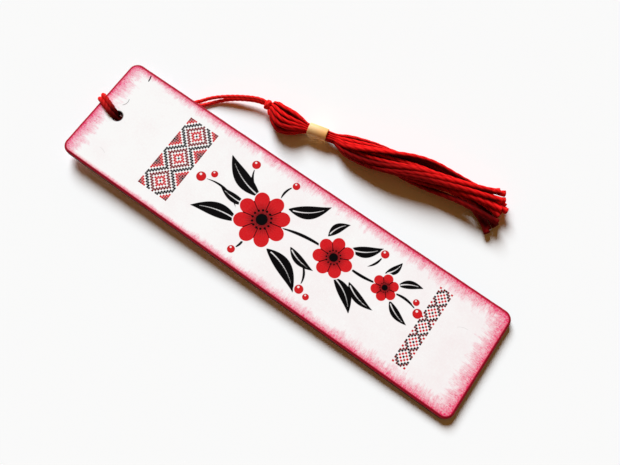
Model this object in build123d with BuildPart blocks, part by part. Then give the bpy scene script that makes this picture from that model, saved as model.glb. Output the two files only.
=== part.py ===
from build123d import *
import os
from math import acos, asin, cos, degrees, radians, sin, tan

# All sizes are in millimetres and all angles in degrees.
# The table is z = 0, x runs from the hole end of the card to its far end,
# and y points to the side on which the tassel lies.

# Card
card_length = 155.0
card_width = 40.0
blank_thickness = 2.8
print_thickness = 0.2
corner_radius = 3.8
edge_round = 0.9
hole_inset = 8.4

# Hanging cord
cord_diameter = 1.4
cord_sides = 6
cord_on_card_gap = 0.05
strand_gap = 0.3
hole_clearance = 0.3
crossing_gap = 0.2
hitch_skew = 2.4
lobe_spacing = 2.0
bight_clearance = 0.25
join_height = 0.7
join_gap = 0.26
start_heading = 56.0
cord_reach_along = 37.2
cord_reach_aside = 34.4
knot_rise = 2.8

# Tie: the knot and the loop that carries the yarns
knot_turn_radius = 0.65
knot_gap = 0.15
knot_fold_gap = 0.35
loop_diameter = 1.0
loop_gap = 0.4
loop_in_knot = 0.25
head_heading = 2.0

# Tassel yarns
yarn_diameter = 0.68
yarn_sides = 6
yarn_gap = 0.06
fold_gap = 0.1
inner_columns = 5
outer_columns = 4
head_length = 12.1
head_swell_place = 0.36
head_swell_across = 2.6
head_swell_up = 2.9
floor_gap = 0.02

# Bead
bead_length = 6.8
bead_wall = 0.42
bead_gap = 0.06
bead_rim_bevel = 0.18
bead_travel = 2.5
neck_heading = 13.0
neck_bend = 1.2

# The two legs of the cord run as a pair along this route from the hole.
# Each place is a share of the reach along, of the reach aside and of the
# knot's rise, half the distance between the legs as a share of the least,
# and how far the pair is turned, from side by side at 0 to stacked at 90.
flat_height = cord_diameter / 2
leg_spread = cord_diameter / 2 + strand_gap / 2
route = [
    (0.075, 0.12, 0.0, 1.0, 0.0),
    (0.21, 0.322, 0.0, 1.06, 0.0),
    (0.5, 0.648, 0.0, 1.18, 0.0),
    (0.89, 0.965, 0.79, 1.0, 70.0),
    (1.0, 1.0, 1.0, 1.0, 78.0),
]
knot_heading = -8.0

# The skirt of the tassel lies along this line past the bead.
# Each place is a share of the skirt's length, the offset to the side as
# a share of that length, the spread across, the spread upwards, and the twist.
skirt_length = 64.0
skirt_end_cut = 7.0
skirt = [
    (0.28, 0.003, 2.6, 2.0, -60.0),
    (0.69, 0.005, 2.3, 1.9, -140.0),
    (1.0, -0.061, 4.8, 1.4, -200.0),
]

# Derived sizes of the card and of the cord's hitch
card_thickness = blank_thickness + print_thickness
cord_radius = cord_diameter / 2
cord_lift = cord_radius + cord_on_card_gap
hole_radius = leg_spread + cord_radius + hole_clearance
hole_x = hole_inset - card_length / 2
edge_x = -card_length / 2
bight_spread = leg_spread + cord_diameter + bight_clearance
stack_height = cord_diameter + crossing_gap + cord_diameter + cord_on_card_gap
tilt = degrees(asin(stack_height / (card_length / 2 - edge_round - hole_x)))
half_thickness = card_thickness / 2
card_rise = (
    (card_length / 2 - edge_round) * sin(radians(tilt))
    + (half_thickness - edge_round) * cos(radians(tilt))
    + edge_round
)
card_plane = Plane(origin=(0, 0, card_rise)).rotated((0, tilt, 0))


def on_card(along, across, height):
    # A place given from the middle of the card, in the card's own directions.
    return card_plane.from_local_coords(Vector(along, across, height))


def bend_radius(points, bend, share, tangent=None):
    # The bend's tangents take a share of the shorter run beside it, or a set length.
    run_in = points[bend + 1] - points[bend]
    run_out = points[bend + 2] - points[bend + 1]
    turn = acos(run_in.normalized().dot(run_out.normalized()))
    if tangent is None:
        tangent = share * min(run_in.length, run_out.length)
    return tangent / tan(turn / 2)


def bend_radii(points):
    # The usual bends of a line: their tangents take 0.45 of the shorter run.
    return [bend_radius(points, bend, 0.45) for bend in range(len(points) - 2)]


def report_tube(name, tube, line, section, radii):
    # A sound tube's volume is its section times the length of its line.
    length = sum(edge.length for edge in line.edges())
    print(
        name,
        "length", round(length, 2),
        "volume", round(tube.part.volume, 3),
        "section x length", round(section.sketch.area * length, 3),
        "radii", [round(radius, 2) for radius in radii],
    )


# Card blank: a rounded plate with softened edges and one hole
with BuildPart() as card_blank:
    with BuildSketch(card_plane.offset(-half_thickness)):
        RectangleRounded(card_length, card_width, corner_radius)
    extrude(amount=blank_thickness)
    rims = card_blank.faces().sort_by(Axis.Z)
    fillet(rims[0].edges() + rims[-1].edges(), radius=edge_round)
    with BuildSketch(card_plane.offset(-half_thickness)):
        with Locations((hole_x, 0)):
            Circle(hole_radius)
    extrude(amount=blank_thickness, mode=Mode.SUBTRACT)

# Front print: the sheet glued on the flat of the blank's front
with BuildPart() as front_print:
    with BuildSketch(card_plane.offset(half_thickness - print_thickness)):
        RectangleRounded(
            card_length - 2 * edge_round,
            card_width - 2 * edge_round,
            corner_radius - edge_round,
        )
        with Locations((hole_x, 0)):
            Circle(hole_radius, mode=Mode.SUBTRACT)
    extrude(amount=print_thickness)

# Hitch: up through the hole, over the short edge, and round the back of the hole
hole_mouth = on_card(hole_x, 0, -half_thickness)
side_of_start = Vector(-sin(radians(start_heading)), cos(radians(start_heading)), 0)
front_height = half_thickness + cord_lift
back_height = -half_thickness - cord_lift
wrap_x = edge_x - cord_lift
wrap_radius = edge_round + cord_lift
bight_x = hole_x + bight_spread
left_lobe = hitch_skew + lobe_spacing / 2
right_lobe = hitch_skew - lobe_spacing / 2
join_level = hole_mouth.Z + join_height
hitch_points = [
    Vector(hole_mouth.X, 0, join_level + join_gap) + side_of_start * leg_spread,
    on_card(hole_x, leg_spread, front_height),
    on_card(wrap_x, left_lobe, front_height),
    on_card(wrap_x, left_lobe, back_height),
    on_card(bight_x, bight_spread, back_height),
    on_card(bight_x, -bight_spread, back_height),
    on_card(hole_x - bight_spread, -bight_spread, back_height),
    on_card(wrap_x, right_lobe, back_height),
    on_card(wrap_x, right_lobe, front_height),
    on_card(hole_x, -leg_spread, front_height),
    Vector(hole_mouth.X, 0, join_level + join_gap) - side_of_start * leg_spread,
]
hole_bend = 0.9 * cord_diameter
hitch_radii = [
    hole_bend,
    wrap_radius,
    wrap_radius,
    bend_radius(hitch_points, 3, 0.48),
    bend_radius(hitch_points, 4, 0.48),
    bend_radius(hitch_points, 5, 0.45),
    wrap_radius,
    wrap_radius,
    hole_bend,
]
with BuildPart() as cord_hitch:
    with BuildLine() as hitch_line:
        FilletPolyline(*hitch_points, radius=hitch_radii)
    with BuildSketch(Plane(origin=hitch_line.line @ 0, z_dir=hitch_line.line % 0)) as section:
        RegularPolygon(cord_radius, cord_sides)
    sweep()
report_tube("cord_hitch", cord_hitch, hitch_line.line, section, hitch_radii)

# Legs: down out of the hole, flat under the card, and up to the knot
hole_axis = Vector(hole_mouth.X, hole_mouth.Y, 0)
middles = [
    hole_axis + Vector(0, 0, join_level),
    hole_axis + Vector(0, 0, flat_height),
]
spreads = [leg_spread, leg_spread]
for along, aside, rise, spread, turn in route:
    height = flat_height + rise * knot_rise
    middles.append(hole_axis + Vector(along * cord_reach_along, aside * cord_reach_aside, height))
    spreads.append(spread * leg_spread)
sides = [side_of_start, side_of_start]
for place, (along, aside, rise, spread, turn) in enumerate(route, start=2):
    way = middles[min(place + 1, len(middles) - 1)] - middles[place - 1]
    level_side = Vector(-way.Y, way.X, 0).normalized()
    sides.append(level_side * cos(radians(turn)) + Vector(0, 0, sin(radians(turn))))
legs = []
for hand, name in ((1, "cord_leg_left"), (-1, "cord_leg_right")):
    points = [
        middle + side * (hand * spread)
        for middle, side, spread in zip(middles, sides, spreads)
    ]
    radii = bend_radii(points)
    with BuildPart() as leg:
        with BuildLine() as leg_line:
            FilletPolyline(*points, radius=radii)
        with BuildSketch(Plane(origin=leg_line.line @ 0, z_dir=leg_line.line % 0)) as section:
            RegularPolygon(cord_radius, cord_sides)
        sweep()
    report_tube(name, leg, leg_line.line, section, radii)
    print(name, [tuple(round(value, 3) for value in point) for point in points])
    leg.part.label = name
    legs.append(leg)

# Places of the knot, of the loop's bar and of the bead's neck
knot_core_radius = 1.08 * knot_turn_radius
knot_radius = knot_core_radius + knot_turn_radius
knot_way = Vector(cos(radians(knot_heading)), sin(radians(knot_heading)), 0)
knot_place = middles[-1] + knot_way * (knot_radius + knot_gap)
yarn_radius = yarn_diameter / 2
pitch = yarn_diameter + yarn_gap
row_step = pitch * sin(radians(60))
inner_up = pitch / 2
outer_up = inner_up + row_step
loop_radius = loop_diameter / 2
inner_fold = loop_radius + yarn_radius + fold_gap
outer_fold = inner_fold + row_step
inner_reach = (inner_columns - 1) / 2 * pitch
outer_reach = (outer_columns - 1) / 2 * pitch
knot_to_bar = knot_radius + knot_fold_gap + outer_fold + yarn_radius
bundle_reach = max(
    Vector(inner_reach, inner_up).length,
    Vector(outer_reach, outer_up).length,
)
tassel_height = head_swell_up * outer_up + yarn_radius + floor_gap
head_way = Vector(cos(radians(head_heading)), sin(radians(head_heading)), 0)
neck_way = Vector(cos(radians(neck_heading)), sin(radians(neck_heading)), 0)
bar_place = knot_place + head_way * knot_to_bar
head_base = Vector(bar_place.X, bar_place.Y, tassel_height)
neck_base = head_base + head_way * head_length
neck_length = bead_length + bead_travel + 2 * neck_bend
bar_plane = Plane(origin=bar_place, x_dir=head_way, z_dir=(0, 0, 1))
head_plane = Plane(origin=head_base, x_dir=head_way, z_dir=(0, 0, 1))
neck_plane = Plane(origin=neck_base, x_dir=neck_way, z_dir=(0, 0, 1))

# Knot: two turns of cord round an upright core
knot_waist = knot_radius - knot_turn_radius / 2
knot_crown = knot_radius - knot_turn_radius
with BuildPart() as tie_knot:
    with BuildSketch(Plane(origin=knot_place, x_dir=(1, 0, 0), z_dir=(0, -1, 0))):
        Polygon(
            (0, 0),
            (knot_waist, 0),
            (knot_radius, knot_turn_radius),
            (knot_crown, 2 * knot_turn_radius),
            (0, 2 * knot_turn_radius),
            align=None,
        )
        mirror(about=Plane.XZ)
    revolve(axis=Axis(knot_place, (0, 0, 1)))

# Loop: from the knot, round both sides of the folded yarns, with a bar through the fold
loop_side = inner_reach + yarn_radius + loop_gap + loop_radius
loop_bend = loop_radius + loop_gap
loop_shoulder = outer_fold + yarn_radius
loop_start = (knot_radius - loop_in_knot) * sin(radians(45))
loop_points = [
    bar_plane.from_local_coords(Vector(along, across, 0))
    for along, across in (
        (loop_start - knot_to_bar, loop_start),
        (-loop_shoulder, loop_side),
        (0, loop_side),
        (0, -loop_side),
        (-loop_shoulder, -loop_side),
        (loop_start - knot_to_bar, -loop_start),
    )
]
with BuildPart() as tie_loop:
    with BuildLine() as loop_line:
        FilletPolyline(*loop_points, radius=loop_bend)
    with BuildSketch(Plane(origin=loop_line.line @ 0, z_dir=loop_line.line % 0)) as section:
        RegularPolygon(loop_radius, cord_sides)
    sweep()
report_tube("tie_loop", tie_loop, loop_line.line, section, [loop_bend])


def strand_points(across, up, fold, hand, length_share):
    # One half of a folded yarn, from the fold over the bar to its cut end.
    points = [bar_plane.from_local_coords(Vector(-fold, across, hand * fold))]
    swell = Vector(
        head_length * head_swell_place,
        across * head_swell_across,
        hand * up * head_swell_up,
    )
    points.append(head_plane.from_local_coords(swell))
    points.append(neck_plane.from_local_coords(Vector(0, across, hand * up)))
    points.append(neck_plane.from_local_coords(Vector(neck_length, across, hand * up)))
    for distance, offset, spread_across, spread_up, twist in skirt:
        turned = Vector(across, hand * up).rotate(Axis.Z, twist)
        base = spread_up * bundle_reach + yarn_radius + floor_gap
        along = neck_length + distance * skirt_length
        aside = offset * skirt_length + turned.X * spread_across
        place = neck_plane.from_local_coords(Vector(along, aside, 0))
        points.append(Vector(place.X, place.Y, base + turned.Y * spread_up))
    last_run = points[-2] - points[-1]
    points[-1] += last_run.normalized() * (skirt_end_cut * length_share)
    return points


def yarn_radii(points):
    # The fold and the neck are bent tighter than the open stretches.
    radii = bend_radii(points)
    middle = len(radii) // 2
    for fold in (middle - 1, middle):
        radii[fold] = bend_radius(points, fold, 0.48)
    for neck in (middle - 4, middle - 3, middle + 2, middle + 3):
        radii[neck] = bend_radius(points, neck, 0, neck_bend)
    return radii


# Yarns: each is folded over the bar, drawn in through the bead, and spread as a skirt
rows = (
    ("yarn_inner", inner_columns, inner_up, inner_fold),
    ("yarn_outer", outer_columns, outer_up, outer_fold),
)
golden_share = 0.618
yarns = []
for row_name, columns, up, fold in rows:
    for column in range(columns):
        across = (column - (columns - 1) / 2) * pitch
        share = len(yarns) * golden_share
        upper = strand_points(across, up, fold, 1, share % 1)
        lower = strand_points(across, up, fold, -1, (share + 0.5) % 1)
        points = lower[::-1] + upper
        radii = yarn_radii(points)
        with BuildPart() as yarn:
            with BuildLine() as yarn_line:
                FilletPolyline(*points, radius=radii)
            with BuildSketch(Plane(origin=yarn_line.line @ 0, z_dir=yarn_line.line % 0)) as section:
                RegularPolygon(yarn_radius, yarn_sides)
            sweep()
        name = f"{row_name}_{column + 1}"
        report_tube(name, yarn, yarn_line.line, section, radii)
        yarn.part.label = name
        yarns.append(yarn)

# Bead: a short tube round the neck of the tassel
bore_radius = bundle_reach + yarn_radius + bead_gap
bead_radius = bore_radius + bead_wall
bead_start = Plane(origin=neck_plane.from_local_coords(Vector(neck_bend, 0, 0)), z_dir=neck_way)
with BuildPart() as bead:
    with BuildSketch(bead_start):
        Circle(bead_radius)
        Circle(bore_radius, mode=Mode.SUBTRACT)
    extrude(amount=bead_length)
    outer_rims = bead.edges().filter_by(GeomType.CIRCLE).sort_by(SortBy.RADIUS)[-2:]
    chamfer(outer_rims, length=bead_rim_bevel)

card_blank.part.label = "card_blank"
front_print.part.label = "front_print"
cord_hitch.part.label = "cord_hitch"
tie_knot.part.label = "tie_knot"
tie_loop.part.label = "tie_loop"
bead.part.label = "bead"

print("tilt", round(tilt, 4), "card rise", round(card_rise, 4))
print("hole", hole_mouth, "knot", knot_place, "bar", bar_place)
print("neck", neck_base, "bead middle", bead_start.origin + neck_way * (bead_length / 2))
print("bead outside", round(2 * bead_radius, 3), "bore", round(2 * bore_radius, 3))

os.makedirs("parts", exist_ok=True)
for piece in [card_blank, front_print, cord_hitch, *legs, tie_knot, tie_loop, *yarns, bead]:
    export_step(piece.part, f"parts/{piece.part.label}.step")
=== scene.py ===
import bpy
import numpy as np
from mathutils import Matrix


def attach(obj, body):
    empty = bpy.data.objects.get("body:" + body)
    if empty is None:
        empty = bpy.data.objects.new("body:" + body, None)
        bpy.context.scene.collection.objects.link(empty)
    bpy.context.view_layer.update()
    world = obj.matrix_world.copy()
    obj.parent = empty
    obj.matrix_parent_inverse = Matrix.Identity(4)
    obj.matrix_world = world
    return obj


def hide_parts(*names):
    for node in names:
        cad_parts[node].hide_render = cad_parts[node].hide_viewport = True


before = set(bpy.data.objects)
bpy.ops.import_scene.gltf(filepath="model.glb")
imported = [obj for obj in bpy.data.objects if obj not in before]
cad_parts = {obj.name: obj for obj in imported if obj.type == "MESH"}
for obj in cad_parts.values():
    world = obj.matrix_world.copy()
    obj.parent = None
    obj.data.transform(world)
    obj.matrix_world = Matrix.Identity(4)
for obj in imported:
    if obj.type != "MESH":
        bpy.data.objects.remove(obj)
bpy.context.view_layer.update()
mm = 0.001  # the settings below are in millimetres, the meshes in metres
print("frame loaded,", len(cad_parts), "nodes")


# helpers for settings, things and meshes


class Settings(dict):
    # a dictionary whose entries are also read as settings.name
    __getattr__ = dict.__getitem__


def pick(look, names):
    # the named settings, in that order
    return [look[name] for name in names.split()]


def inBetween(begin, end, count):
    # numbers evenly between two ends, without the ends
    return np.linspace(begin, end, count + 2)[1:-1]


def addThing(name, data, axes=np.eye(3), place=(0.0, 0.0, 0.0)):
    # a thing in the scene, its own three directions turned to the axes, at a place in millimetres
    thing = bpy.data.objects.new(name, data)
    pose = np.eye(4)
    pose[:3, :3], pose[:3, 3] = np.array(axes).T, np.array(place) * mm
    thing.matrix_world = Matrix(pose.tolist())
    bpy.context.scene.collection.objects.link(thing)
    return thing


def gridFaces(rows, columns, joinRows=False, joinColumns=False):
    # four corners between neighbouring rows and columns, wrapped round where they join
    r, c = np.meshgrid(
        np.arange(rows if joinRows else rows - 1),
        np.arange(columns if joinColumns else columns - 1),
        indexing="ij",
    )
    rNext, cNext = (r + 1) % rows, (c + 1) % columns
    corners = [r * columns + c, rNext * columns + c, rNext * columns + cNext, r * columns + cNext]
    return np.stack(corners, -1).reshape(-1, 4)


def signedVolume(places, faces):
    # a sixth of the sum of first corner . (second x third), each face taken as a fan
    total = 0.0
    for size in sorted({len(face) for face in faces}):
        same = places[np.array([face for face in faces if len(face) == size])]
        for k in range(1, size - 1):
            total += (same[:, 0] * np.cross(same[:, k], same[:, k + 1])).sum() / 6
    return total


def addPiece(name, places, faces, finish, body, node, marks):
    # places in millimetres and faces become one smooth mesh, turned outwards by its volume's sign
    faces = [list(face) for face in faces]
    if signedVolume(places, faces) < 0:
        faces = [face[::-1] for face in faces]
    mesh = bpy.data.meshes.new(name)
    mesh.from_pydata((places * mm).tolist(), [], faces)
    for markName, values in marks.items():
        if values.ndim == 1:
            mark = mesh.attributes.new(markName, "FLOAT", "POINT")
            mark.data.foreach_set("value", values.astype(np.float32))
        else:
            mark = mesh.attributes.new(markName, "FLOAT_VECTOR", "POINT")
            mark.data.foreach_set("vector", values.astype(np.float32).ravel())
    mesh.shade_smooth()
    mesh.materials.append(finish)
    piece = addThing(name, mesh)
    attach(piece, body)
    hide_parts(node)
    return piece


def readRoute(points, steps=16):
    # the smooth NURBS line of order 3 with these control points, as Blender works it out
    curve = bpy.data.curves.new("route", "CURVE")
    curve.dimensions = "3D"
    curve.resolution_u = steps
    spline = curve.splines.new("NURBS")
    spline.points.add(len(points) - 1)
    spline.points.foreach_set("co", np.c_[points, np.ones(len(points))].ravel())
    spline.use_endpoint_u = True
    spline.order_u = 3
    holder = bpy.data.objects.new("route", curve)
    mesh = bpy.data.meshes.new_from_object(holder)
    line = np.empty(3 * len(mesh.vertices))
    mesh.vertices.foreach_get("co", line)
    bpy.data.objects.remove(holder)
    bpy.data.curves.remove(curve)
    bpy.data.meshes.remove(mesh)
    return line.reshape(-1, 3)


def evenLine(line, step):
    # the same line read off again at even distances, with the distance of each place along it
    runs = np.linalg.norm(np.diff(line, axis=0), axis=1)
    kept = np.r_[True, runs > 1e-6]
    along = np.r_[0.0, np.cumsum(runs)][kept]
    at = np.linspace(0.0, along[-1], int(np.ceil(along[-1] / step)) + 1)
    return np.stack([np.interp(at, along, line[kept, k]) for k in range(3)], -1), at


def carriedSides(line, firstSide):
    # a side vector carried along the line: each step takes out only its part along the tangent
    tangents = np.gradient(line, axis=0)
    tangents /= np.linalg.norm(tangents, axis=1, keepdims=True)
    sides = np.empty_like(line)
    side = np.array(firstSide, float)
    for k, tangent in enumerate(tangents):
        side = side - tangent * (side @ tangent)
        side = side / np.linalg.norm(side)
        sides[k] = side
    return sides, np.cross(tangents, sides)


def twistedSkin(line, at, radius, firstSide, thread, outward):
    # plies twisted about a line: a ply is a round of radius a whose middle is d from the line, and
    # seen from the line its outline is d cos b + sqrt(a^2 - d^2 sin^2 b), b the angle from its middle;
    # depth says how much of that outline is mixed into a plain round
    sides, ups = carriedSides(line, firstSide)
    plies, depth = thread.plies, thread.depth
    phi = np.linspace(0.0, 2 * np.pi, thread.around, endpoint=False)[None, :]
    psi = phi - 2 * np.pi * at[:, None] / thread.turn
    b = ((psi * plies / (2 * np.pi) + 0.5) % 1.0 - 0.5) * 2 * np.pi / plies
    s = np.sin(np.pi / plies)
    a, d = s / (1 + s), 1 / (1 + s)
    outline = d * np.cos(b) + np.sqrt(np.maximum(a * a - (d * np.sin(b)) ** 2, 0.0))
    share = 1 - depth + depth * outline
    r = radius[:, None] * share
    places = (
        line[:, None, :]
        + (r * np.cos(phi))[..., None] * sides[:, None, :]
        + (r * np.sin(phi))[..., None] * ups[:, None, :]
    )
    groove = (share - share.min()) / np.ptp(share)
    fibre = [np.cos(psi), np.sin(psi), np.broadcast_to(at[:, None] * thread.fibre, psi.shape)]
    # ridge is the cosine between a place's direction from the line and the way out of the bundle;
    # where it is low the finish paints shade
    out = np.broadcast_to(outward, line.shape)
    ridge = np.cos(phi) * (sides * out).sum(1)[:, None] + np.sin(phi) * (ups * out).sum(1)[:, None]
    return places, groove, np.stack(fibre, -1), ridge


upward = np.array([0.0, 0.0, 1.0])


def wayAndSide(degrees):
    # level directions along a heading and to its left
    turn = np.radians(degrees)
    return np.array([np.cos(turn), np.sin(turn), 0.0]), np.array([-np.sin(turn), np.cos(turn), 0.0])


def twistedPiece(
    name, node, body, thread, route, radius, firstSide, floor=None,
    outward=lambda line: upward, shade=lambda line: np.zeros(len(line)),
):
    # a twisted skin along a route's own spline, closed at both ends by a low cone of triangles;
    # shade says how much painted shade each place along the line gets, from 0 to 1, and the cut ends
    # count as ridges, so they get none of the painted shade of the gaps
    spline = readRoute(np.array(route, float))
    line, at = evenLine(spline, thread.step)
    thick = radius(line, at) if callable(radius) else np.full(at.shape, radius)
    places, groove, fibre, ridge = twistedSkin(line, at, thick, firstSide, thread, outward(line))
    dark = shade(line)
    atEnd = np.clip(1 - np.minimum(at, at[-1] - at) / thread.endLit, 0.0, 1.0)
    ridge = np.maximum(ridge, atEnd[:, None])
    rows, columns = places.shape[:2]
    faces = gridFaces(rows, columns, joinColumns=True).tolist()
    tips = line[[0, -1]] + thread.tip * (line[[0, -1]] - line[[1, -2]])
    ring = np.arange(columns)
    ringNext, last = (ring + 1) % columns, (rows - 1) * columns
    faces += np.c_[ring, ringNext, np.full(columns, rows * columns)].tolist()
    faces += np.c_[last + ringNext, last + ring, np.full(columns, rows * columns + 1)].tolist()
    places = np.r_[places.reshape(-1, 3), tips]
    if floor is not None:
        places[:, 2] = np.maximum(places[:, 2], floor)  # a soft strand lies flat on the table
    marks = {
        "groove": np.r_[groove.ravel(), [thread.tipGroove] * 2],
        "fibre": np.r_[fibre.reshape(-1, 3), fibre[[0, -1]].mean(1)],
        "ridge": np.r_[ridge.ravel(), 1.0, 1.0],
        "shade": np.r_[np.repeat(dark, columns), dark[[0, -1]]],
    }
    piece = addPiece(name, places, faces, thread.finish, body, node, marks)
    return piece, spline, at[-1]


# helpers for finishes


class Value:
    # a shader's socket that takes part in sums like a number: each sum adds a math node to its tree
    def __init__(self, socket):
        self.socket, self.tree = socket, socket.id_data

    def __add__(self, other):
        return sums("ADD", self, other)

    def __sub__(self, other):
        return sums("SUBTRACT", self, other)

    def __rsub__(self, other):
        return sums("SUBTRACT", other, self)

    def __mul__(self, other):
        return sums("MULTIPLY", self, other)

    def __truediv__(self, other):
        return sums("DIVIDE", self, other)

    def __abs__(self):
        return sums("ABSOLUTE", self)

    def clamped(self):
        self.socket.node.use_clamp = True
        return self


def feed(node, inputs):
    # each input is linked to a socket or given a value
    for key, value in inputs.items():
        value = getattr(value, "socket", value)
        if isinstance(value, bpy.types.NodeSocket):
            node.id_data.links.new(value, node.inputs[key])
        else:
            node.inputs[key].default_value = value


def addNode(tree, kind, inputs, **settings):
    node = tree.nodes.new("ShaderNode" + kind)
    for key, value in settings.items():
        setattr(node, key, value)
    feed(node, inputs)
    return node


def newFinish(name, roughness):
    finish = bpy.data.materials.new(name)
    finish.use_nodes = True
    shader = finish.node_tree.nodes["Principled BSDF"]
    feed(shader, {"Roughness": roughness})
    return finish, finish.node_tree, shader


def sums(operation, *values):
    # a math node over sockets and numbers, in the tree of the first socket
    tree = next(value.tree for value in values if isinstance(value, Value))
    return Value(addNode(tree, "Math", dict(enumerate(values)), operation=operation).outputs[0])


def mixTone(share, under, over):
    # from one tone to the other by the share; each is a socket or three numbers
    under, over = ((*tone, 1.0) if isinstance(tone, tuple) else tone for tone in (under, over))
    return Value(addNode(share.tree, "Mix", {0: share, 6: under, 7: over}, data_type="RGBA").outputs[2])


def stretched(place, factors):
    inputs = {0: place, 1: factors}
    return Value(addNode(place.tree, "VectorMath", inputs, operation="MULTIPLY").outputs[0])


def grain(place, scale, detail, rough=0.5):
    # noise of one scale, or of three, along the place's three directions
    if isinstance(scale, tuple):
        place, scale = stretched(place, scale), 1.0
    inputs = {"Vector": place, "Scale": scale, "Detail": detail, "Roughness": rough}
    return Value(addNode(place.tree, "TexNoise", inputs).outputs[0])


def readMark(tree, name, output="Fac"):
    return Value(addNode(tree, "Attribute", {}, attribute_name=name).outputs[output])


def placeInMm(tree):
    return stretched(Value(addNode(tree, "TexCoord", {}).outputs["Object"]), (1 / mm,) * 3)


def threeParts(place):
    return [Value(part) for part in addNode(place.tree, "SeparateXYZ", {0: place}).outputs]


def spread(value, low, high, toLow=0.0, toHigh=1.0):
    # low and high are carried to toLow and toHigh, and nothing goes past them
    inputs = dict(enumerate([value, low, high, toLow, toHigh]))
    return Value(addNode(value.tree, "MapRange", inputs).outputs[0])


def toneRamp(share, stops, interpolation="LINEAR"):
    # the tone at the share and how far it covers
    node = addNode(share.tree, "ValToRGB", {0: share})
    node.color_ramp.interpolation = interpolation
    elements = node.color_ramp.elements
    while len(elements) < len(stops):
        elements.new(1.0)
    for element, (position, tone) in zip(elements, stops):
        element.position = position
        element.color = tone if len(tone) == 4 else (*tone, 1.0)
    return [Value(output) for output in node.outputs]


def raiseGrain(shader, height, strength, depth):
    inputs = {"Height": height, "Strength": strength, "Distance": depth * mm}
    feed(shader, {"Normal": addNode(shader.id_data, "Bump", inputs).outputs[0]})


# camera, floor and light

studio = Settings(
    eye=(42.178, -43.036, 206.714), right=(0.81607, 0.57795, 0.00026), up=(-0.55535, 0.78405, 0.27722),
    back=(0.16002, -0.22638, 0.96081), lens=37.368, sensor=36.0, clip=(0.005, 20.0), floorHalf=3000.0,
    floorRoughness=0.9, floorTone=(0.97, 0.97, 0.967, 1.0), sunTowards=(-0.62, 0.51, 0.66),
    sunStrength=4.78, sunSpread=31.0, sunTone=(0.8635, 0.947, 1.0), skyTone=(1.0, 0.46, 0.12, 1.0),
    skyStrength=0.15,
)


def buildStudio():
    scene = bpy.context.scene
    scene.view_settings.view_transform = "Standard"
    camera = bpy.data.cameras.new("camera")
    camera.lens, camera.sensor_width = pick(studio, "lens sensor")
    camera.sensor_fit = "HORIZONTAL"
    camera.clip_start, camera.clip_end = studio.clip
    scene.camera = addThing("camera", camera, pick(studio, "right up back"), studio.eye)

    sun = bpy.data.lights.new("softSun", "SUN")
    sun.energy, sun.color = pick(studio, "sunStrength sunTone")
    sun.angle = np.radians(studio.sunSpread)
    towards = np.array(studio.sunTowards)
    side = np.cross(upward, towards)
    side /= np.linalg.norm(side)
    towards /= np.linalg.norm(towards)
    addThing("softSun", sun, [side, np.cross(towards, side), towards])

    world = bpy.data.worlds.new("studio")
    world.use_nodes = True
    tree = world.node_tree
    sky = tree.nodes["Background"]
    feed(sky, {"Color": studio.skyTone, "Strength": studio.skyStrength})
    white = addNode(tree, "Background", {"Color": (1.0, 1.0, 1.0, 1.0)})
    rays = addNode(tree, "LightPath", {}).outputs
    seen = Value(rays["Is Camera Ray"])
    for ray in ("Is Glossy Ray", "Is Transmission Ray"):
        seen = sums("MAXIMUM", seen, Value(rays[ray]))
    both = addNode(tree, "MixShader", {0: seen, 1: sky.outputs[0], 2: white.outputs[0]})
    feed(tree.nodes["World Output"], {"Surface": both.outputs[0]})
    scene.world = world

    finish, _, shader = newFinish("pale_floor", studio.floorRoughness)
    feed(shader, {"Base Color": studio.floorTone, "Specular IOR Level": 0.0})
    half = studio.floorHalf * mm
    mesh = bpy.data.meshes.new("floor")
    corners = [(-half, -half, 0), (half, -half, 0), (half, half, 0), (-half, half, 0)]
    mesh.from_pydata(corners, [], [(0, 1, 2, 3)])
    mesh.materials.append(finish)
    floor = addThing("floor", mesh)


buildStudio()
print("studio set up")


# finishes of the cord and the yarn

# a thread's dark, middle and light tones follow the groove: painted shade between the plies; the gap tone
# is painted shade where a strand turns in to its neighbours, and the deep tone is painted shade by the
# shade mark
cordLook = Settings(
    dark=(0.36, 0.002, 0.003), middle=(0.93, 0.008, 0.009), light=(0.99, 0.030, 0.024),
    gap=(0.26, 0.0015, 0.0025), ridgeFrom=-1.1, ridgeTo=-0.1, deep=(0.035, 0.0003, 0.0006),
)
yarnLook = Settings(
    dark=(0.22, 0.0012, 0.0016), middle=(0.74, 0.004, 0.005), light=(0.98, 0.014, 0.012),
    gap=(0.010, 0.0002, 0.0003), ridgeFrom=-0.05, ridgeTo=0.62, deep=(0.05, 0.0003, 0.0006),
)

# each grain's scale, detail and roughness, its share of the height, and the heights of the three tones
threadGrain = Settings(
    roughness=0.9, shine=0.06, fine=(7.0, 3.0, 0.65), fineShare=1.1, slow=((0.3, 0.3, 3.6), 2.0),
    slowShare=0.35, stops=(0.06, 0.45, 0.88), bump=(0.5, 0.1),
)


def threadFinish(name, look):
    # painted shade between the plies and where a strand turns in to its neighbours, lighter on its ridge,
    # more painted shade where the shade mark says, and fibres that follow each ply
    finish, tree, shader = newFinish(name, threadGrain.roughness)
    fibre = readMark(tree, "fibre", "Vector")
    fine, slow = grain(fibre, *threadGrain.fine), grain(fibre, *threadGrain.slow)
    height = readMark(tree, "groove") + (fine - 0.5) * threadGrain.fineShare
    height = height + (slow - 0.5) * threadGrain.slowShare
    tones = pick(look, "dark middle light")
    tone, _ = toneRamp(height, list(zip(threadGrain.stops, tones)))
    inGapShade = spread(readMark(tree, "ridge"), look.ridgeTo, look.ridgeFrom)
    tone = mixTone(inGapShade, tone, look.gap)
    tone = mixTone(readMark(tree, "shade"), tone, look.deep)
    feed(shader, {"Base Color": tone, "Specular IOR Level": threadGrain.shine})
    raiseGrain(shader, fine, *threadGrain.bump)
    return finish


# the hanging cord

card = Settings(
    length=155.0, width=40.0, corner=3.3, edgeRound=0.45, top=1.3, bottom=-1.5, tilt=1.1995,
    rise=3.1034, holeX=-69.1, holeRadius=1.85,
)


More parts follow.
